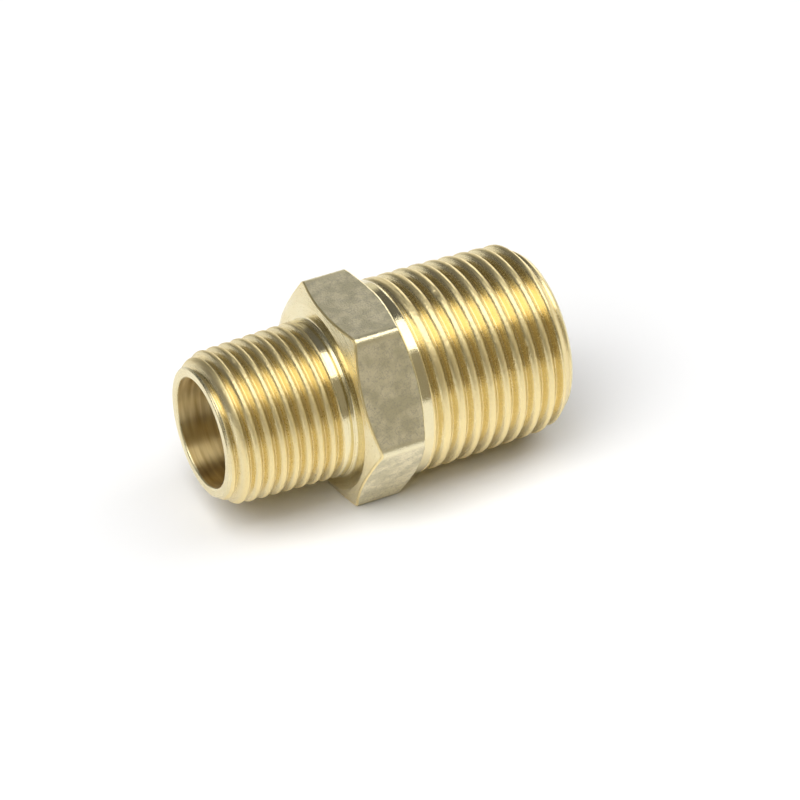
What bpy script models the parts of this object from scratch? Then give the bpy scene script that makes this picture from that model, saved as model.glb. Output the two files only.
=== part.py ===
"""Reducing hex nipple, 1/2 NPT male to 3/8 NPT male, cut from one piece of hexagonal brass bar.

The bore axis lies along X. The small end points to -X, the large end to +X, and the origin is on
the axis, midway between the two end faces. One flat of the hexagon faces straight down, as the
fitting lies on a bench. All lengths are in metres.

The steps follow the real ones: the bar is turned to a profile and bored, and each end is then
threaded by a V-shaped tool that runs along a cone and lifts out of the metal before the hexagon.
"""

import math

import bmesh
import bpy
from mathutils import Vector

MM = 0.001

# Lengths along the bore axis
SMALL_LENGTH = 14.05 * MM
HEX_LENGTH = 7.0 * MM
LARGE_LENGTH = 18.45 * MM
OVERALL = SMALL_LENGTH + HEX_LENGTH + LARGE_LENGTH
SMALL_FACE_X = -OVERALL / 2
LARGE_FACE_X = OVERALL / 2
HEX_SMALL_X = SMALL_FACE_X + SMALL_LENGTH
HEX_LARGE_X = HEX_SMALL_X + HEX_LENGTH

# Hexagon and its turned chamfers
ACROSS_FLATS = 21.6 * MM
CORNER_RADIUS = ACROSS_FLATS / math.sqrt(3)
CORNER_BEVEL = 0.35 * MM
HEX_FACE_RADIUS = 10.2 * MM
HEX_CHAMFER_SLOPE = math.tan(math.radians(25))
BAR_OVERSIZE = 0.6 * MM

# Bore
BORE_RADIUS = 6.0 * MM
MOUTH_BREAK = 0.25 * MM

# Pipe taper: 1 in 16 on the diameter
TAPER = 1 / 32

# Thread form, as fractions of the pitch
CREST_FLAT = 0.22
ROOT_FLAT = 0.20
FLANK_ANGLE = math.radians(30)
TOOL_OVERRUN = 0.12

# Small end: 3/8 NPT, 18 threads per inch
SMALL_PITCH = 25.4 / 18 * MM
SMALL_END_RADIUS = 8.2 * MM
SMALL_COLLAR_RADIUS = 8.6 * MM
SMALL_FACE_RADIUS = 6.95 * MM
SMALL_CHAMFER_LENGTH = 2.0 * MM

# Large end: 1/2 NPT, 14 threads per inch
LARGE_PITCH = 25.4 / 14 * MM
LARGE_END_RADIUS = 10.34 * MM
LARGE_COLLAR_RADIUS = 10.7 * MM
LARGE_FACE_RADIUS = 8.95 * MM
LARGE_CHAMFER_LENGTH = 1.8 * MM

# Where each groove crosses the plane at angle 0 next to its end face, and how it runs out
SMALL_THREAD_PHASE = 0.12
SMALL_FULL_TURNS = 8.66
SMALL_RUNOUT_TURNS = 0.47
LARGE_THREAD_PHASE = 0.74
LARGE_FULL_TURNS = 8.60
LARGE_RUNOUT_TURNS = 0.55

# Facets, and the distance under which two corners of a cut are one
STEPS = 36
SHARP_EDGE = math.radians(20)
WELD = 0.002 * MM


def clear_scene():
    for old in list(bpy.data.objects):
        bpy.data.objects.remove(old, do_unlink=True)


def brass():
    material = bpy.data.materials.new("brass")
    material.use_nodes = True
    shader = material.node_tree.nodes["Principled BSDF"]
    shader.inputs["Base Color"].default_value = (0.72, 0.56, 0.28, 1.0)
    shader.inputs["Metallic"].default_value = 1.0
    shader.inputs["Roughness"].default_value = 0.28
    return material


def object_from_bmesh(name, mesh_data):
    bmesh.ops.recalc_face_normals(mesh_data, faces=mesh_data.faces)
    mesh = bpy.data.meshes.new(name)
    mesh_data.to_mesh(mesh)
    mesh_data.free()
    mesh.shade_smooth()
    mesh.set_sharp_from_angle(angle=SHARP_EDGE)
    made = bpy.data.objects.new(name, mesh)
    bpy.context.scene.collection.objects.link(made)
    return made


def mark_as_cutter(cutter):
    cutter.hide_render = True
    cutter.display_type = "WIRE"


def thread_depth(pitch):
    return (1 - CREST_FLAT - ROOT_FLAT) / 2 * pitch / math.tan(FLANK_ANGLE)


def turned_profile():
    """Closed outline (x, radius) of the turned and bored bar, hexagon left at full bar size."""
    bar = CORNER_RADIUS + BAR_OVERSIZE
    rise = (bar - HEX_FACE_RADIUS) * HEX_CHAMFER_SLOPE
    collar_dip = (LARGE_COLLAR_RADIUS - HEX_FACE_RADIUS) * HEX_CHAMFER_SLOPE
    small_taper_end = SMALL_FACE_X + (SMALL_COLLAR_RADIUS - SMALL_END_RADIUS) / TAPER
    large_taper_end = LARGE_FACE_X - (LARGE_COLLAR_RADIUS - LARGE_END_RADIUS) / TAPER
    small_chamfer_radius = SMALL_END_RADIUS + SMALL_CHAMFER_LENGTH * TAPER
    large_chamfer_radius = LARGE_END_RADIUS + LARGE_CHAMFER_LENGTH * TAPER
    return [
        (SMALL_FACE_X, BORE_RADIUS + MOUTH_BREAK),
        (SMALL_FACE_X, SMALL_FACE_RADIUS),
        (SMALL_FACE_X + SMALL_CHAMFER_LENGTH, small_chamfer_radius),
        (small_taper_end, SMALL_COLLAR_RADIUS),
        (HEX_SMALL_X, SMALL_COLLAR_RADIUS),
        (HEX_SMALL_X, HEX_FACE_RADIUS),
        (HEX_SMALL_X + rise, bar),
        (HEX_LARGE_X - rise, bar),
        (HEX_LARGE_X - collar_dip, LARGE_COLLAR_RADIUS),
        (large_taper_end, LARGE_COLLAR_RADIUS),
        (LARGE_FACE_X - LARGE_CHAMFER_LENGTH, large_chamfer_radius),
        (LARGE_FACE_X, LARGE_FACE_RADIUS),
        (LARGE_FACE_X, BORE_RADIUS + MOUTH_BREAK),
        (LARGE_FACE_X - MOUTH_BREAK, BORE_RADIUS),
        (SMALL_FACE_X + MOUTH_BREAK, BORE_RADIUS),
    ]


def turn_body(name):
    """Spin the profile once around the bore axis."""
    turning = bmesh.new()
    outline = [turning.verts.new((x, radius, 0.0)) for x, radius in turned_profile()]
    edges = [turning.edges.new((a, b)) for a, b in zip(outline, outline[1:] + outline[:1])]
    bmesh.ops.spin(
        turning,
        geom=outline + edges,
        cent=(0, 0, 0),
        axis=(1, 0, 0),
        angle=math.tau,
        steps=STEPS,
        use_merge=True,
    )
    bmesh.ops.remove_doubles(turning, verts=turning.verts, dist=1e-6)
    return object_from_bmesh(name, turning)


def hex_bar():
    """Six-sided bar with slightly rounded corners, flats up and down."""
    bar = bmesh.new()
    ends = OVERALL / 2 + 2 * MM
    ring = []
    for corner in range(6):
        angle = math.radians(60 * corner)
        y = CORNER_RADIUS * math.cos(angle)
        z = CORNER_RADIUS * math.sin(angle)
        ring.append(bar.verts.new((-ends, y, z)))
    base = bar.faces.new(ring)
    lifted = bmesh.ops.extrude_face_region(bar, geom=[base])
    moved = [item for item in lifted["geom"] if isinstance(item, bmesh.types.BMVert)]
    bmesh.ops.translate(bar, verts=moved, vec=Vector((2 * ends, 0, 0)))
    along = [edge for edge in bar.edges if abs(edge.verts[0].co.x - edge.verts[1].co.x) > ends]
    bmesh.ops.bevel(
        bar, geom=along, offset=CORNER_BEVEL, segments=2, profile=0.5, affect="EDGES"
    )
    bar_object = object_from_bmesh("hex_bar", bar)
    mark_as_cutter(bar_object)
    return bar_object


def thread_cutter(name, face_x, inward, end_radius, pitch, phase, full_turns, runout_turns):
    """Sweep of the threading tool along a right-hand helix on a cone.

    inward is +1 when the metal lies towards +X of the end face and -1 when it lies towards -X.
    The groove starts outside the end face and its root rises out of the metal over the last
    runout_turns.
    """
    sweep = bmesh.new()
    depth = thread_depth(pitch)
    half_root = ROOT_FLAT / 2 * pitch
    overrun = TOOL_OVERRUN * pitch
    reach = depth + overrun
    half_top = half_root + reach * math.tan(FLANK_ANGLE)
    lead_in = phase + 0.6
    total_turns = lead_in + full_turns + runout_turns
    count = round(total_turns * STEPS)
    rings = []
    for step in range(count + 1):
        turns = step / STEPS - lead_in
        x = face_x + inward * (phase + turns) * pitch
        angle = inward * math.tau * turns
        crest = end_radius + TAPER * abs(x - face_x) * (1 if inward * (x - face_x) > 0 else -1)
        lift = max(0.0, (turns - full_turns) / runout_turns) * (reach + overrun)
        root = crest - depth + lift
        section = [
            (x - half_top, root + reach),
            (x - half_root, root),
            (x + half_root, root),
            (x + half_top, root + reach),
        ]
        ring = []
        for place, radius in section:
            y = radius * math.cos(angle)
            z = radius * math.sin(angle)
            ring.append(sweep.verts.new((place, y, z)))
        rings.append(ring)
    for near, far in zip(rings, rings[1:]):
        for side in range(4):
            after = (side + 1) % 4
            sweep.faces.new((near[side], near[after], far[after], far[side]))
    sweep.faces.new(rings[0])
    sweep.faces.new(list(reversed(rings[-1])))
    cutter = object_from_bmesh(name, sweep)
    mark_as_cutter(cutter)
    return cutter


def add_boolean(target, tool, operation):
    cut = target.modifiers.new(tool.name, "BOOLEAN")
    cut.operation = operation
    cut.solver = "EXACT"
    cut.object = tool


def build_nipple():
    body = turn_body("nipple_body")
    body.data.materials.append(brass())
    add_boolean(body, hex_bar(), "INTERSECT")
    small_thread = thread_cutter(
        "small_thread_cutter", SMALL_FACE_X, 1, SMALL_END_RADIUS, SMALL_PITCH,
        SMALL_THREAD_PHASE, SMALL_FULL_TURNS, SMALL_RUNOUT_TURNS,
    )
    add_boolean(body, small_thread, "DIFFERENCE")
    large_thread = thread_cutter(
        "large_thread_cutter", LARGE_FACE_X, -1, LARGE_END_RADIUS, LARGE_PITCH,
        LARGE_THREAD_PHASE, LARGE_FULL_TURNS, LARGE_RUNOUT_TURNS,
    )
    add_boolean(body, large_thread, "DIFFERENCE")
    weld = body.modifiers.new("weld_cut_corners", "WELD")
    weld.merge_threshold = WELD
    return body


clear_scene()
build_nipple()
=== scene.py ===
"""Reducing hex nipple in brass: fine surface, materials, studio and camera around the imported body.

The bore axis is X, the small end points to -X and one flat of the hexagon faces down. The surface
is a stack of closed rings of vertices around the axis, and each thread is a band of helical rows
cut from one formula for the radius at a given length and angle. The shape and the camera's place
are in millimetres, and turn into metres when they are made. Bump heights and lights are in metres.
"""

import math
from dataclasses import dataclass

import bpy
import numpy as np
from mathutils import Matrix, Vector


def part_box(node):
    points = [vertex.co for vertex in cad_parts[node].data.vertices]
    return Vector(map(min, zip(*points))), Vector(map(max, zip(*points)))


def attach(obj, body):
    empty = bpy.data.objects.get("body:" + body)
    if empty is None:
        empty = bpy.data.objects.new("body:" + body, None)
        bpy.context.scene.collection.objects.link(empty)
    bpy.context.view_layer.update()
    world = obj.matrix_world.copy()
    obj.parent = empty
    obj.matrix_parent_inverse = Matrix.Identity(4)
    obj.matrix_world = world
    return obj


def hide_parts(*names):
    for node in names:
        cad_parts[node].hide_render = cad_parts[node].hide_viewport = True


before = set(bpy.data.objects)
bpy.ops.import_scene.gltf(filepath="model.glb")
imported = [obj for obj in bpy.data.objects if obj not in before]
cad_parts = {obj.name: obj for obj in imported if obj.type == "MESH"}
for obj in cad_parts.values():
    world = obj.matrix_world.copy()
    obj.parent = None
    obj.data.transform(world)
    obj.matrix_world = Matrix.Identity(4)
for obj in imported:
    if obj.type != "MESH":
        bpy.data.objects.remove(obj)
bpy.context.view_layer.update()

MM = 0.001
TAU = math.tau
LOW, HIGH = (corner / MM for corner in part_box("nipple_body"))

# Overall sizes, from the frame
SMALL_FACE = LOW.x
LARGE_FACE = HIGH.x
FLAT = HIGH.z

# Hexagon: its turned faces and chamfers, and its worn corners
HEX_SMALL = SMALL_FACE + 14.05
HEX_LARGE = HEX_SMALL + 7.0
HEX_FACE_RADIUS = 10.2
HEX_SLOPE = math.tan(math.radians(25))
HEX_FACE_BREAK = 0.05
HEX_EDGE = 0.13
EDGE_SHARE = 0.35  # most of the low chamfer beside the large collar that its edge may round off
CORNER_FILLET = 0.85
WEAR_FULL, WEAR_END = 1.56, 4.16  # degrees from a corner

# Bore and end faces
BORE = 6.0
BORE_WAVES = ((0.006, 47, 0), (0.004, 119, 1))  # height, frequency, start
MOUTH = 0.25
FACE_BREAK = 0.10
CHAMFER_BREAK = 0.08

# Fine line turned into the small end's chamfer: distance from the face, depth
LIP_LINE = ((0.12, 0.0), (0.15, 0.04), (0.19, 0.04), (0.22, 0.0))

# Collars. The small one has a relief line: distance from the hexagon, depth, polish. The rings
# of the large one are listed by distance from the hexagon and polish.
NECK_FILLET = 0.30
RELIEF_LINE = (
    (-0.77, 0.0, 1.0), (-0.50, 0.0, 1.0), (-0.45, 0.05, 0.0), (-0.39, 0.05, 0.0), (-0.35, 0.0, 0.0),
)
LARGE_COLLAR_RINGS = ((-0.19, 0.5), (-0.12, 1.0), (0.3, 1.0), (0.6, 1.0), (0.76, 1.0))
POLISH_FADE = 0.12

# Thread form; the flats, the overrun and the two roundings are fractions of the pitch
TAPER = 1 / 32
CREST_FLAT = 0.36
ROOT_FLAT = 0.06
FLANK = math.tan(math.radians(30))
OVERRUN = 0.12
CREST_ROUND = 0.26
ROOT_ROUND = 0.14
CHAMFER_ROUND = 0.10  # millimetres
LEAD_TURNS = 1.3  # over which the extra depth at the end face fades

# Unevenness left by the threading tool, and how far along a thread it starts on the crests
ROOT_WANDER = 0.012
FLANK_WANDER = 0.010
CREST_WANDER = 0.008
CREST_WANDER_START = 0.9

# Share of the groove's depth down to which the metal takes the crests' rougher, torn finish and
# their painted highlight: fully, and at all
CREST_FULL, CREST_END = 0.05, 0.30

# Small knocks: place along X, angle in degrees, half length, half width, depth
KNOCKS = (
    (14.1, 148.0, 0.32, 0.45, 0.16),
    (7.0, 99.8, 0.30, 0.50, 0.16),
    (-15.8, 94.8, 0.26, 0.40, 0.14),
    (11.6, 124.0, 0.25, 0.60, 0.10),
    (4.9, 171.0, 0.30, 0.50, 0.10),
    (-9.4, 178.0, 0.25, 0.45, 0.10),
    (-12.3, 142.0, 0.22, 0.40, 0.10),
    (9.3, 236.0, 0.30, 0.60, 0.12),
    (16.2, 20.0, 0.30, 0.60, 0.12),
    (-11.0, 330.0, 0.26, 0.50, 0.12),
)

# Mesh density: columns in each sixth of a turn, and rows as shares of what they cross
SECTOR_COLUMNS = 33
CORNER_PACKING = 0.62
GROOVE_ROWS = (0.0, 0.03, 0.07, 0.14, 0.20, 0.25, 0.29, 0.33, 0.38, 0.44, 0.5)
FIRST_CHAMFER_ROWS = (0.06, 0.3, 0.6, 0.9)
FLAT_ROWS = (0.012, 0.06, 0.15, 0.3, 0.5, 0.7, 0.85, 0.94, 0.988, 1.0)
LAST_CHAMFER_ROWS = (0.1, 0.4, 0.7, 1.0)
BORE_STEPS = 25
END_GAP = 0.02  # least distance from a helical point to the ring that ends the thread

# Rings on the flat faces and the chamfers: distances kept from a corner, and radii in between
MOUTH_GAP, EDGE_GAP, CHAMFER_GAP = 0.08, 0.16, 0.14
FILLET_GAP, HEX_GAP, FOOT_GAP = 0.06, 0.12, 0.02
SMALL_FACE_RING, HEX_FACE_RING = 6.6, 9.5
LARGE_FACE_RINGS = 8.0, 7.0

# Material slots
TURNED, DRAWN, BORED = 0, 1, 2

# Brass tones, darker and paler where there are two
TURNED_TONES = (0.81, 0.70, 0.42, 1), (0.84, 0.75, 0.48, 1)
# Paler gold painted on the crests and on the hexagon's first rounded edge: a painted highlight and
# glints
CREST_HIGHLIGHT_TONE = (0.89, 0.74, 0.39, 1)
# Darker, deeper gold painted in the grooves: painted shade of the light bouncing inside them
GROOVE_SHADE_TONE = (0.80, 0.66, 0.35, 1)
STAIN_TONE = (0.55, 0.42, 0.22, 1)
DRAWN_TONES = (0.68, 0.62, 0.42, 1), (0.90, 0.82, 0.59, 1)
OXIDE_TONE = (0.50, 0.45, 0.33, 1)
WORN_TONE = (0.82, 0.74, 0.50, 1)
BORED_TONES = (0.62, 0.45, 0.19, 1), (0.94, 0.77, 0.40, 1)

# Roughness: from the smoothest to the roughest marks, and what a feature adds to it
TURNED_ROUGH = 0.16, 0.27
DRAWN_ROUGH = 0.36, 0.50
BORED_ROUGH = 0.36, 0.54
GRAIN_ROUGH = 0.08
CREST_ROUGH = 0.13
WEAR_ROUGH = -0.10
SMALL_END_ROUGH = 0.06
SMALL_END_FADE = HEX_SMALL - 2.8, HEX_SMALL - 1.8

# Noise values that turning marks are spread between
MARK_SPAN = 0.3, 0.7

# Bump heights
TURNING_HEIGHT = 0.010 * MM
GRAIN_HEIGHT = 0.006 * MM
TORN_HEIGHT = 0.05 * MM
DRAWING_HEIGHT = 0.02 * MM
SPECKLE_HEIGHT = 0.030 * MM
BORING_HEIGHT = 0.008 * MM

# Camera: the way it looks, and its place from the origin
CAMERA_AZIMUTH = math.radians(-27.35)
CAMERA_ELEVATION = math.radians(36.2)
CAMERA_BACK, CAMERA_RIGHT, CAMERA_UP = 390.84, 3.283, -1.886
LENS, SENSOR, CLIP_START = 165.8, 36.0, 0.01

# Studio
FLOOR_TONE = (0.92, 0.92, 0.92, 1)
FLOOR_HALF_SIZE = 1.5
LIGHT_DISTANCE = 2.5


# ---------------------------------------------------------------- shape


def column_angles():
    """Angles of the columns, closer together at the six corners of the hexagon."""
    step = np.arange(SECTOR_COLUMNS) / SECTOR_COLUMNS * 2 - 1
    eased = (1 - CORNER_PACKING) * step + CORNER_PACKING * np.sin(step * math.pi / 2)
    sector = math.radians(30) * (1 + eased)
    return np.concatenate([sector + math.radians(60) * k for k in range(6)])


def smooth_min(a, b, width):
    """The smaller of the two, with the change from one to the other rounded off."""
    mix = np.clip(0.5 + 0.5 * (b - a) / width, 0, 1)
    return b * (1 - mix) + a * mix - width * mix * (1 - mix)


def smooth_max(a, b, width):
    """The larger of the two, rounded in the same way."""
    return -smooth_min(-a, -b, width)


def fade(value, full, end):
    """1 up to full, falling to 0 at end; either of the two may be the larger."""
    return np.clip((end - value) / (end - full), 0, 1)


def off_corner(angle):
    """Angle from the nearest corner of the hexagon."""
    return np.abs((angle + math.radians(30)) % math.radians(60) - math.radians(30))


def hexagon_radius(angle):
    """Distance from the axis to the bar's surface, corners rounded."""
    off = off_corner(angle)
    centre = (FLAT - CORNER_FILLET) / math.cos(math.radians(30))
    flat = FLAT / np.cos(math.radians(30) - off)
    inside = np.maximum(CORNER_FILLET**2 - (centre * np.sin(off)) ** 2, 0)
    rounded = centre * np.cos(off) + np.sqrt(inside)
    touch = math.atan2(CORNER_FILLET * 0.5, centre + CORNER_FILLET * math.cos(math.radians(30)))
    return np.where(off < touch, rounded, flat)


def corner_wear(angle):
    """1 on the rounded corners of the hexagon, falling to 0 a little way onto the flats."""
    return fade(np.degrees(off_corner(angle)), WEAR_FULL, WEAR_END)


def dents(x, angle, radius):
    """Small knocks on crests and corners: how far each point is pushed in."""
    push = np.zeros_like(radius)
    for at_x, at_angle, long, wide, deep in KNOCKS:
        turn = (angle - math.radians(at_angle) + math.pi) % TAU - math.pi
        across = turn * radius / wide
        push += deep * np.exp(-(((x - at_x) / long) ** 2) - across**2)
    return push


@dataclass
class Thread:
    """A right-hand tapered thread between an end face and the hexagon."""

    face: float  # place of the end face
    inward: int  # direction of the hexagon along X
    pitch: float
    phase: float  # where the groove crosses angle 0, in pitches from the face
    full: float  # turns at full depth
    runout: float  # turns over which the groove lifts out of the metal
    end_radius: float
    collar: float  # radius of the collar, where the taper ends
    face_radius: float
    chamfer: float  # length of the end chamfer
    lead_cut: float  # extra depth of the groove at the face
    start: float  # the helical rows lie between start and stop
    stop: float
    polished: float  # place where the polished collar begins
    seed: int

    def __post_init__(self):
        self.origin = self.face + self.inward * self.phase * self.pitch
        self.slope = (self.end_radius + TAPER * self.chamfer - self.face_radius) / self.chamfer
        self.depth = (1 - CREST_FLAT - ROOT_FLAT) / 2 * self.pitch / FLANK
        self.reach = self.depth + OVERRUN * self.pitch
        self.waves = np.random.default_rng(self.seed).uniform(0, TAU, (3, 8))

    def envelope(self, along):
        """Radius of the turned blank: chamfer, taper and collar."""
        cone = np.minimum(self.end_radius + TAPER * along, self.collar)
        return smooth_min(cone, self.face_radius + self.slope * along, CHAMFER_ROUND)

    def wander(self, turns, row, count):
        """Slow variation along a helix, about 1 at its largest.

        row is 0 for the root, 1 for the flanks and 2 for the crests.
        """
        total = 0
        for k in range(count):
            wave = np.sin(turns * (4.6 + 6.2 * k) + self.waves[row, k])
            total = total + wave / (1 + 0.4 * k)
        return total / 2.2

    def groove_radius(self, along, place, nearest, angle):
        """Radius of the cut that one turn of the groove makes."""
        turns = self.inward * (nearest + angle / TAU)
        rise = np.maximum(0, (turns - self.full) / self.runout)
        lift = rise * (self.reach + OVERRUN * self.pitch)
        root = self.end_radius + TAPER * along - self.depth + lift
        root = root + ROOT_WANDER * self.wander(turns, 0, 4)
        root = root - self.lead_cut * np.clip(1 - turns / LEAD_TURNS, 0, 1)
        off = np.abs(place - nearest) * self.pitch + FLANK_WANDER * self.wander(turns, 1, 5)
        flank = root + (off - ROOT_FLAT / 2 * self.pitch) / FLANK
        return smooth_max(root, flank, ROOT_ROUND * self.pitch)

    def radius(self, x, angle):
        """Radius of the finished surface, and how deep in the groove it lies from 0 to 1."""
        along = (x - self.face) * self.inward
        blank = self.envelope(along)
        place = (x - self.origin) / self.pitch - angle / TAU
        below = np.floor(place)
        cut = np.minimum(self.groove_radius(along, place, below, angle),
                         self.groove_radius(along, place, below + 1, angle))
        uneven = self.wander(place * self.inward, 2, 6) * (along > CREST_WANDER_START)
        surface = smooth_min(blank + CREST_WANDER * uneven, cut, CREST_ROUND * self.pitch)
        return surface, np.clip((blank - surface) / self.depth, 0, 1)


SMALL = Thread(
    face=SMALL_FACE, inward=1, pitch=25.4 / 18, phase=0.12, full=8.66, runout=0.47,
    end_radius=8.2, collar=8.6, face_radius=6.95, chamfer=2.0, lead_cut=0.85,
    start=SMALL_FACE + 0.29, stop=HEX_SMALL - 0.90, polished=HEX_SMALL - 1.55, seed=3,
)
LARGE = Thread(
    face=LARGE_FACE, inward=-1, pitch=25.4 / 14, phase=0.74, full=8.60, runout=0.55,
    end_radius=10.34, collar=10.7, face_radius=8.95, chamfer=1.8, lead_cut=0.20,
    start=HEX_LARGE + 0.82, stop=LARGE_FACE - 0.20, polished=HEX_LARGE + 0.90, seed=5,
)


class Skin:
    """Collects the rings and bands of one closed surface."""

    def __init__(self):
        self.angles = column_angles()
        self.columns = len(self.angles)
        self.points, self.groove, self.wear, self.crest = [], [], [], []
        self.faces, self.kinds = [], []
        self.count = 0

    def add(self, x, radius, angle, groove, wear, crest=0.0):
        """Add vertices and return their numbers."""
        x, radius, groove, wear, crest = (
            np.broadcast_to(values, angle.shape).astype(float)
            for values in (x, radius, groove, wear, crest)
        )
        radius = radius - dents(x, angle, radius)
        self.points.append(np.stack([x, radius * np.cos(angle), radius * np.sin(angle)], -1))
        self.groove.append(groove)
        self.wear.append(wear)
        self.crest.append(crest)
        first = self.count
        self.count += len(angle)
        return np.arange(first, self.count)

    def ring(self, x, radius, wear=0.0, crest=0.0):
        return self.add(x, radius, self.angles, 0.0, wear, crest)

    def join(self, near, far, kind):
        """Band of faces between two rings; near comes first on the way along the outside."""
        near_next, far_next = np.roll(near, -1), np.roll(far, -1)
        self.patch(np.stack([near, near_next, far_next, far], -1), kind)

    def patch(self, quads, kind):
        """Faces from rows of four vertices; a repeated vertex makes a triangle or nothing."""
        for quad in quads.tolist():
            corners = [v for i, v in enumerate(quad) if v != quad[i - 1]]
            if len(corners) > 2 and len(set(corners)) == len(corners):
                self.faces.append(corners)
                self.kinds.append(kind)

    def run(self, last, profile, kind):
        """Rings at each (x, radius[, wear[, crest]]), each joined to the ring before."""
        for spot in profile:
            here = self.ring(*spot)
            self.join(last, here, kind)
            last = here
        return last

    def thread(self, last, thread, kind):
        """Helical rows, cut off by a plain ring at each end.

        Rows follow the helix, so a row that ends a turn meets the row one pitch further on. Points
        beyond either end fall onto that end's ring, and their faces shrink away.
        """
        rows = list(GROOVE_ROWS) + [1 - share for share in reversed(GROOVE_ROWS[1:-1])]
        per_turn = len(rows)
        low, high = thread.start, thread.stop
        first = math.floor((low - thread.origin) / thread.pitch) - 2
        final = math.ceil((high - thread.origin) / thread.pitch) + 1
        steps = np.arange(first * per_turn, final * per_turn)
        base = np.array([step // per_turn + rows[step % per_turn] for step in steps])
        x = thread.origin + thread.pitch * (base[:, None] + self.angles[None, :] / TAU)
        angle = np.broadcast_to(self.angles, x.shape)
        below, above = x < low + END_GAP, x > high - END_GAP
        start = self.end_ring(thread, low)
        stop = self.end_ring(thread, high)
        index = np.where(below, start[None, :], stop[None, :])
        inner = ~(below | above)
        radius, groove = thread.radius(x[inner], angle[inner])
        plain = fade((x[inner] - thread.polished) * thread.inward, POLISH_FADE, 0)
        plain = plain * (groove < CREST_FULL)
        # Crests take a rougher, torn finish and a painted highlight in their colour
        crest = fade(groove, CREST_FULL, CREST_END) * (1 - plain)
        index[inner] = self.add(x[inner], radius, angle[inner], groove, plain, crest)
        seam = np.concatenate([index[per_turn:, 0], np.full(per_turn, stop[0])])
        whole = np.concatenate([index, seam[:, None]], 1)
        quads = np.stack([whole[:-1, :-1], whole[:-1, 1:], whole[1:, 1:], whole[1:, :-1]], -1)
        self.join(last, start, kind)
        self.patch(quads.reshape(-1, 4), kind)
        return stop

    def end_ring(self, thread, x):
        """Plain ring at one end of a thread, polished where it lies on the collar."""
        radius, groove = thread.radius(np.full(self.columns, x), self.angles)
        on_collar = float((x - thread.face) * thread.inward > thread.chamfer)
        return self.add(x, radius, self.angles, groove, on_collar)


def arc(centre_x, centre_r, size, start, end, steps):
    """Points (x, radius) along part of a circle; degrees from +X towards a larger radius."""
    for k in range(steps + 1):
        turn = math.radians(start + (end - start) * k / steps)
        yield centre_x + size * math.cos(turn), centre_r + size * math.sin(turn)


def bend(before, corner, after, steps):
    """Points along a short curve that rounds off a corner; each place may vary around the ring."""
    for k in range(steps + 1):
        t = k / steps
        weights = ((1 - t) ** 2, 2 * t * (1 - t), t * t)
        x = sum(w * p[0] for w, p in zip(weights, (before, corner, after)))
        radius = sum(w * p[1] for w, p in zip(weights, (before, corner, after)))
        yield x, radius


def small_end(skin):
    """Bore mouth, end face and the chamfer's first part; gives its first and last rings."""
    x, edge, slope = SMALL_FACE, SMALL.face_radius, SMALL.slope
    first = skin.ring(x + MOUTH, BORE)
    lip = list(arc(x + MOUTH, BORE + MOUTH, MOUTH, 270, 180, 6))
    last = skin.run(first, lip[1:], TURNED)
    profile = [(x, BORE + MOUTH + MOUTH_GAP), (x, SMALL_FACE_RING), (x, edge - EDGE_GAP)]
    profile += bend((x, edge - FACE_BREAK), (x, edge),
                    (x + CHAMFER_BREAK, edge + CHAMFER_BREAK * slope), 4)
    profile += [(x + inset, edge + inset * slope - dip) for inset, dip in LIP_LINE]
    return first, skin.run(last, profile, TURNED)


def small_collar(skin, last):
    """Polished collar with its relief line, the fillet, and the hexagon's flat face."""
    neck = SMALL.collar
    profile = [(HEX_SMALL + off, neck - deep, polish) for off, deep, polish in RELIEF_LINE]
    profile += arc(HEX_SMALL - NECK_FILLET, neck + NECK_FILLET, NECK_FILLET, -90, 0, 6)
    profile += [(HEX_SMALL, neck + NECK_FILLET + FILLET_GAP), (HEX_SMALL, HEX_FACE_RING),
                (HEX_SMALL, HEX_FACE_RADIUS - HEX_GAP)]
    chamfer_start = (HEX_SMALL + HEX_FACE_BREAK * HEX_SLOPE, HEX_FACE_RADIUS + HEX_FACE_BREAK)
    profile += bend((HEX_SMALL, HEX_FACE_RADIUS - HEX_FACE_BREAK), (HEX_SMALL, HEX_FACE_RADIUS),
                    chamfer_start, 3)
    return skin.run(last, profile, TURNED)


def hexagon(skin, last):
    """Chamfer, six flats and second chamfer, down to the large collar."""
    bar = hexagon_radius(skin.angles)
    low_edge = HEX_SMALL + (bar - HEX_FACE_RADIUS) * HEX_SLOPE
    high_edge = HEX_LARGE - (bar - HEX_FACE_RADIUS) * HEX_SLOPE
    inner = HEX_FACE_RADIUS + HEX_FACE_BREAK
    profile = []
    for share in FIRST_CHAMFER_ROWS:
        radius = inner + (bar - HEX_EDGE - inner) * share
        profile.append((HEX_SMALL + (radius - HEX_FACE_RADIUS) * HEX_SLOPE, radius))
    last = skin.run(last, profile, TURNED)

    before = (low_edge - HEX_EDGE * HEX_SLOPE, bar - HEX_EDGE)
    rounding = bend(before, (low_edge, bar), (low_edge + HEX_EDGE, bar), 4)
    # The hexagon's first rounded edge takes the crests' finish, and with it their painted golden
    # glints
    last = skin.run(last, [(*spot, 0.0, 1.0) for spot in rounding], TURNED)

    span = high_edge - low_edge - 2 * HEX_EDGE
    worn = corner_wear(skin.angles)
    profile = [(low_edge + HEX_EDGE + span * share, bar, worn) for share in FLAT_ROWS]
    last = skin.run(last, profile, DRAWN)

    room = np.minimum(HEX_EDGE, (bar - LARGE.collar) * EDGE_SHARE)
    after = (high_edge + room * HEX_SLOPE, bar - room)
    rounding = list(bend((high_edge - HEX_EDGE, bar), (high_edge, bar), after, 4))
    last = skin.run(last, rounding[1:], TURNED)
    foot = LARGE.collar + FOOT_GAP
    profile = []
    for share in LAST_CHAMFER_ROWS:
        radius = (bar - room) * (1 - share) + foot * share
        profile.append((HEX_LARGE - (radius - HEX_FACE_RADIUS) * HEX_SLOPE, radius))
    return skin.run(last, profile, TURNED)


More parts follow.
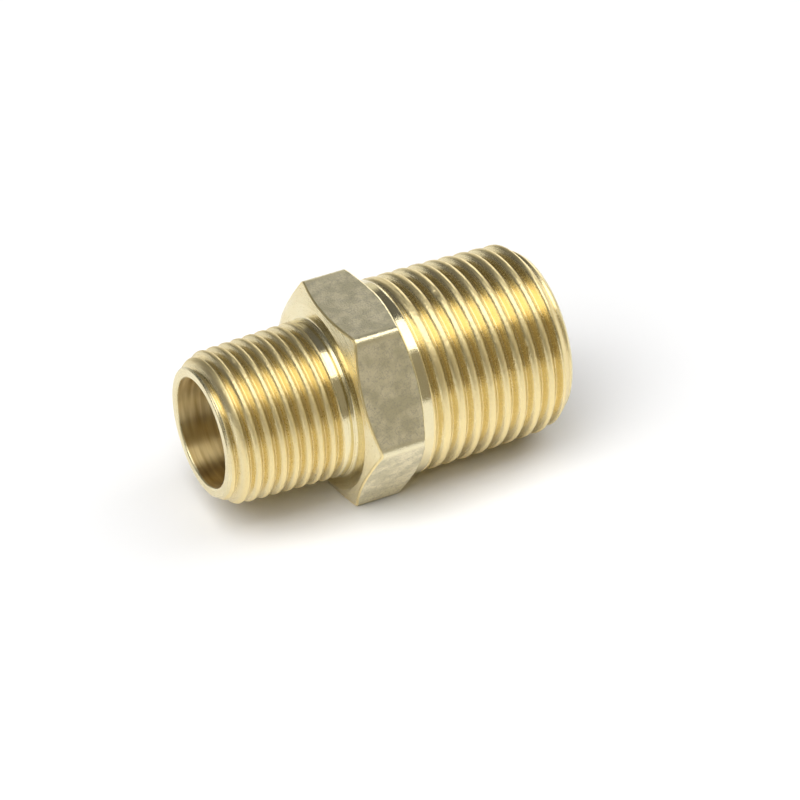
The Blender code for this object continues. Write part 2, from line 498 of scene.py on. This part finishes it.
def large_collar(skin, last):
    """Polished collar between the hexagon and the large thread."""
    profile = [(HEX_LARGE + off, LARGE.collar, polish) for off, polish in LARGE_COLLAR_RINGS]
    return skin.run(last, profile, TURNED)


def large_end(skin, last):
    """End of the chamfer, end face and bore mouth."""
    x, edge, slope = LARGE_FACE, LARGE.face_radius, LARGE.slope
    profile = [(x - CHAMFER_GAP, edge + CHAMFER_GAP * slope)]
    profile += bend((x - CHAMFER_BREAK, edge + CHAMFER_BREAK * slope), (x, edge),
                    (x, edge - FACE_BREAK), 4)
    profile += [(x, edge - EDGE_GAP)] + [(x, radius) for radius in LARGE_FACE_RINGS]
    profile += [(x, BORE + MOUTH + MOUTH_GAP)]
    profile += arc(x - MOUTH, BORE + MOUTH, MOUTH, 0, -90, 6)
    return skin.run(last, profile, TURNED)


def bore(skin, last, first):
    """Bore wall, very slightly uneven along its length, closed onto the first ring."""
    length = LARGE_FACE - SMALL_FACE - 2 * MOUTH
    profile = []
    for share in np.linspace(0, 1, BORE_STEPS + 1)[1:-1]:
        uneven = sum(high * math.sin(share * often + start) for high, often, start in BORE_WAVES)
        profile.append((LARGE_FACE - MOUTH - length * share, BORE + uneven))
    last = skin.run(last, profile, BORED)
    skin.join(last, first, BORED)


def build_skin():
    skin = Skin()
    first, last = small_end(skin)
    last = skin.thread(last, SMALL, TURNED)
    last = small_collar(skin, last)
    last = hexagon(skin, last)
    last = large_collar(skin, last)
    last = skin.thread(last, LARGE, TURNED)
    last = large_end(skin, last)
    bore(skin, last, first)
    return skin


def make_piece(name, skin, materials):
    points = np.concatenate(skin.points) * MM
    mesh = bpy.data.meshes.new(name)
    mesh.from_pydata(points.tolist(), [], skin.faces)
    for label, values in (("groove", skin.groove), ("wear", skin.wear), ("crest", skin.crest)):
        layer = mesh.attributes.new(label, "FLOAT", "POINT")
        layer.data.foreach_set("value", np.concatenate(values).astype(np.float32))
    for material in materials:
        mesh.materials.append(material)
    mesh.polygons.foreach_set("material_index", skin.kinds)
    mesh.shade_smooth()
    mesh.update()
    piece = bpy.data.objects.new(name, mesh)
    bpy.context.scene.collection.objects.link(piece)
    return piece


# ---------------------------------------------------------------- materials


class Nodes:
    """Short ways to add and link shader nodes."""

    def __init__(self, owner, shader="Principled BSDF"):
        self.tree = owner.node_tree
        self.shader = self.tree.nodes[shader]

    def add(self, kind, inputs=(), **settings):
        node = self.tree.nodes.new(kind)
        for key, value in settings.items():
            setattr(node, key, value)
        for key, value in dict(inputs).items():
            self.feed(node.inputs[key], value)
        return node

    def feed(self, socket, value):
        if isinstance(value, bpy.types.NodeSocket):
            self.tree.links.new(value, socket)
        else:
            socket.default_value = value

    def math(self, operation, a, b=0.0, c=0.0):
        return self.add("ShaderNodeMath", {0: a, 1: b, 2: c}, operation=operation).outputs[0]

    def combine(self, x, y, z):
        return self.add("ShaderNodeCombineXYZ", {0: x, 1: y, 2: z}).outputs[0]

    def attribute(self, label):
        return self.add("ShaderNodeAttribute", attribute_name=label).outputs["Fac"]

    def ramp(self, value, low, high, to_low=0.0, to_high=1.0):
        spots = {"Value": value, "From Min": low, "From Max": high,
                 "To Min": to_low, "To Max": to_high}
        return self.add("ShaderNodeMapRange", spots).outputs["Result"]

    def colour(self, share, first, second):
        """Mix of two colours; a Mix node keeps its colour sockets at 6, 7 and output 2."""
        node = self.add("ShaderNodeMix", data_type="RGBA")
        self.feed(node.inputs[0], share)
        self.feed(node.inputs[6], first)
        self.feed(node.inputs[7], second)
        return node.outputs[2]

    def noise(self, vector, scale, detail=2.0, w=None, rough=0.5):
        inputs = {"Vector": vector, "Scale": scale, "Detail": detail, "Roughness": rough}
        if w is None:
            return self.add("ShaderNodeTexNoise", inputs).outputs[0]
        inputs["W"] = w
        return self.add("ShaderNodeTexNoise", inputs, noise_dimensions="4D").outputs[0]

    def bump(self, height, distance, normal=None):
        inputs = {"Height": height, "Distance": distance, "Strength": 1.0}
        if normal is not None:
            inputs["Normal"] = normal
        return self.add("ShaderNodeBump", inputs).outputs[0]


def new_material(name):
    material = bpy.data.materials.new(name)
    material.use_nodes = True
    nodes = Nodes(material)
    nodes.shader.inputs["Metallic"].default_value = 1.0
    return material, nodes


def lathe_places(nodes):
    """Object place in millimetres: along the axis, the two turning parts, distance from it."""
    place = nodes.add("ShaderNodeTexCoord").outputs["Object"]
    split = nodes.add("ShaderNodeSeparateXYZ", {0: place})
    x, y, z = (nodes.math("MULTIPLY", part, 1 / MM) for part in split.outputs)
    squares = nodes.math("ADD", nodes.math("MULTIPLY", y, y), nodes.math("MULTIPLY", z, z))
    return x, y, z, nodes.math("SQRT", squares)


def turning_marks(nodes, x, y, z, radius, fine, around):
    """Noise drawn out into rings around the axis: fine along it, slow around it."""
    turn_y = nodes.math("MULTIPLY", nodes.math("DIVIDE", y, radius), around)
    turn_z = nodes.math("MULTIPLY", nodes.math("DIVIDE", z, radius), around)
    vector = nodes.combine(nodes.math("MULTIPLY", x, fine), turn_y, turn_z)
    return nodes.noise(vector, 1.0, 2.0, w=nodes.math("MULTIPLY", radius, fine))


def turned_brass():
    """Lathe-turned brass: fine rings, torn crests painted a paler gold as a highlight, grooves
    painted darker as shade, faint stains.

    The small end's finish is a little rougher than the large end's, and its collar is polished.
    """
    material, nodes = new_material("brass_turned")
    x, y, z, radius = lathe_places(nodes)
    marks = turning_marks(nodes, x, y, z, radius, 9.0, 3.0)
    place = nodes.combine(x, y, z)
    cloud = nodes.noise(place, 0.35, 3.0)
    grain = nodes.noise(place, 6.0, 2.0)
    groove = nodes.attribute("groove")
    crest = nodes.attribute("crest")
    tone = nodes.colour(nodes.ramp(cloud, 0.35, 0.65), *TURNED_TONES)
    # Crests painted a paler gold: painted highlight
    tone = nodes.colour(crest, tone, CREST_HIGHLIGHT_TONE)
    # Grooves painted darker by their depth: painted shade
    tone = nodes.colour(nodes.ramp(groove, 0.1, 0.7), tone, GROOVE_SHADE_TONE)
    tone = nodes.colour(nodes.ramp(grain, 0.55, 0.75, 0.0, 0.25), tone, STAIN_TONE)
    nodes.feed(nodes.shader.inputs["Base Color"], tone)
    rough = nodes.ramp(marks, *MARK_SPAN, *TURNED_ROUGH)
    rough = nodes.math("ADD", rough, nodes.ramp(grain, 0.4, 0.8, 0.0, GRAIN_ROUGH))
    rough = nodes.math("MULTIPLY_ADD", nodes.attribute("wear"), WEAR_ROUGH, rough)
    rough = nodes.math("MULTIPLY_ADD", crest, CREST_ROUGH, rough)
    rough = nodes.math("ADD", rough, nodes.ramp(x, *SMALL_END_FADE, SMALL_END_ROUGH, 0.0))
    nodes.feed(nodes.shader.inputs["Roughness"], rough)
    normal = nodes.bump(marks, TURNING_HEIGHT)
    normal = nodes.bump(grain, GRAIN_HEIGHT, normal)
    torn = nodes.math("MULTIPLY", nodes.noise(place, 2.6, 3.0), crest)
    normal = nodes.bump(torn, TORN_HEIGHT, normal)
    nodes.feed(nodes.shader.inputs["Normal"], normal)
    return material


def drawn_brass():
    """Dull surface of the drawn bar: cloudy, veined and speckled oxide, brighter worn corners."""
    material, nodes = new_material("brass_drawn")
    x, y, z, _ = lathe_places(nodes)
    lines = nodes.noise(nodes.combine(nodes.math("MULTIPLY", x, 0.12), y, z), 3.2, 3.0)
    place = nodes.combine(x, y, z)
    cloud = nodes.noise(place, 0.55, 3.0)
    speckle = nodes.noise(place, 5.0, 3.0, rough=0.6)
    wear = nodes.attribute("wear")
    middle = nodes.math("SUBTRACT", nodes.noise(place, 0.9, 4.0, rough=0.65), 0.5)
    vein = nodes.math("ABSOLUTE", middle)
    tone = nodes.colour(nodes.ramp(cloud, 0.40, 0.60), *DRAWN_TONES)
    tone = nodes.colour(nodes.ramp(vein, 0.0, 0.03, 0.6, 0.0), tone, OXIDE_TONE)
    tone = nodes.colour(nodes.ramp(speckle, 0.50, 0.72, 0.0, 0.5), tone, OXIDE_TONE)
    tone = nodes.colour(wear, tone, WORN_TONE)
    nodes.feed(nodes.shader.inputs["Base Color"], tone)
    rough = nodes.ramp(speckle, 0.35, 0.7, *DRAWN_ROUGH)
    rough = nodes.math("MULTIPLY_ADD", wear, WEAR_ROUGH, rough)
    nodes.feed(nodes.shader.inputs["Roughness"], rough)
    normal = nodes.bump(lines, DRAWING_HEIGHT)
    normal = nodes.bump(speckle, SPECKLE_HEIGHT, normal)
    nodes.feed(nodes.shader.inputs["Normal"], normal)
    return material


def bored_brass():
    """Drilled wall whose fine rings spread the light along the axis."""
    material, nodes = new_material("brass_bored")
    x, y, z, radius = lathe_places(nodes)
    marks = turning_marks(nodes, x, y, z, radius, 5.0, 2.0)
    streaks = turning_marks(nodes, x, y, z, radius, 2.2, 1.2)
    tone = nodes.colour(nodes.ramp(streaks, *MARK_SPAN), *BORED_TONES)
    nodes.feed(nodes.shader.inputs["Base Color"], tone)
    nodes.feed(nodes.shader.inputs["Roughness"], nodes.ramp(streaks, *MARK_SPAN, *BORED_ROUGH))
    nodes.shader.inputs["Anisotropic"].default_value = 0.95
    nodes.shader.inputs["Anisotropic Rotation"].default_value = 0.25
    around = nodes.add("ShaderNodeTangent", direction_type="RADIAL", axis="X").outputs[0]
    nodes.feed(nodes.shader.inputs["Tangent"], around)
    nodes.feed(nodes.shader.inputs["Normal"], nodes.bump(marks, BORING_HEIGHT))
    return material


def floor_finish():
    material = bpy.data.materials.new("pale_floor")
    material.use_nodes = True
    shader = material.node_tree.nodes["Principled BSDF"]
    shader.inputs["Base Color"].default_value = FLOOR_TONE
    shader.inputs["Roughness"].default_value = 0.9
    shader.inputs["Specular IOR Level"].default_value = 0.0
    return material


# ---------------------------------------------------------------- studio


def make_floor():
    size = FLOOR_HALF_SIZE
    low_z = LOW.z * MM
    corners = [(-size, -size, low_z), (size, -size, low_z),
               (size, size, low_z), (-size, size, low_z)]
    mesh = bpy.data.meshes.new("floor")
    mesh.from_pydata(corners, [], [(0, 1, 2, 3)])
    mesh.materials.append(floor_finish())
    floor = bpy.data.objects.new("floor", mesh)
    bpy.context.scene.collection.objects.link(floor)


def soft_box(name, direction, width, length, radiance, mirrored=True):
    """Area light that faces the object; its length lies as near as it can to X."""
    toward = Vector(direction).normalized()
    long = (Vector((1, 0, 0)) - toward * toward.x).normalized()
    short = toward.cross(long)
    light = bpy.data.lights.new(name, "AREA")
    light.shape = "RECTANGLE"
    light.size, light.size_y = length, width
    light.energy = radiance * math.pi * length * width
    lamp = bpy.data.objects.new(name, light)
    turn = Matrix((long, short, toward)).transposed().to_4x4()
    turn.translation = toward * LIGHT_DISTANCE
    lamp.matrix_world = turn
    lamp.visible_camera = False
    lamp.visible_glossy = mirrored
    bpy.context.scene.collection.objects.link(lamp)


def make_lights():
    """A long box overhead, a box that only lights the floor, and a window behind."""
    soft_box("overhead_box", (0.0, -0.17, 0.98), width=1.80, length=6.0, radiance=2.1)
    soft_box("floor_box", (-0.53, -0.26, 0.80), width=2.4, length=2.4, radiance=2.75,
             mirrored=False)
    soft_box("window", (0.68, 0.66, 0.30), width=1.3, length=1.3, radiance=1.6)


def make_world():
    """Plain surroundings that only the metal mirrors: grey behind, cream in front."""
    world = bpy.data.worlds.new("studio")
    world.use_nodes = True
    nodes = Nodes(world, "Background")
    place = nodes.add("ShaderNodeTexCoord").outputs["Generated"]
    x, y, z = nodes.add("ShaderNodeSeparateXYZ", {0: place}).outputs
    back = (0.14, 0.14, 0.14, 1)
    low_back = (0.80, 0.78, 0.68, 1)
    front = (0.32, 0.295, 0.235, 1)
    front_right = (0.44, 0.40, 0.30, 1)
    front_left = (0.16, 0.15, 0.11, 1)
    low = nodes.math("MULTIPLY", nodes.ramp(z, 0.44, 0.28), nodes.ramp(x, -0.25, 0.25))
    behind = nodes.colour(low, back, low_back)
    before = nodes.colour(nodes.ramp(x, 0.45, 0.75), front, front_right)
    before = nodes.colour(nodes.ramp(x, -0.10, -0.40), before, front_left)
    around = nodes.colour(nodes.ramp(y, -0.35, 0.05), before, behind)
    nodes.feed(nodes.shader.inputs["Color"], around)
    world.cycles_visibility.diffuse = False
    bpy.context.scene.world = world


def make_camera():
    """Camera on a long lens, turned to the small end's side and looking down on the fitting."""
    level = math.cos(CAMERA_ELEVATION)
    back = Vector((math.sin(CAMERA_AZIMUTH) * level, -math.cos(CAMERA_AZIMUTH) * level,
                   math.sin(CAMERA_ELEVATION)))
    right = Vector((math.cos(CAMERA_AZIMUTH), math.sin(CAMERA_AZIMUTH), 0))
    up = back.cross(right)
    data = bpy.data.cameras.new("camera")
    data.lens, data.sensor_width, data.clip_start = LENS, SENSOR, CLIP_START
    camera = bpy.data.objects.new("camera", data)
    placed = Matrix((right, up, back)).transposed().to_4x4()
    placed.translation = (back * CAMERA_BACK + right * CAMERA_RIGHT + up * CAMERA_UP) * MM
    camera.matrix_world = placed
    bpy.context.scene.collection.objects.link(camera)
    bpy.context.scene.camera = camera


make_camera()
make_world()
make_floor()
make_lights()
bpy.context.scene.view_settings.view_transform = "Standard"

nipple = make_piece("nipple", build_skin(), (turned_brass(), drawn_brass(), bored_brass()))
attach(nipple, "root")
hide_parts("nipple_body")
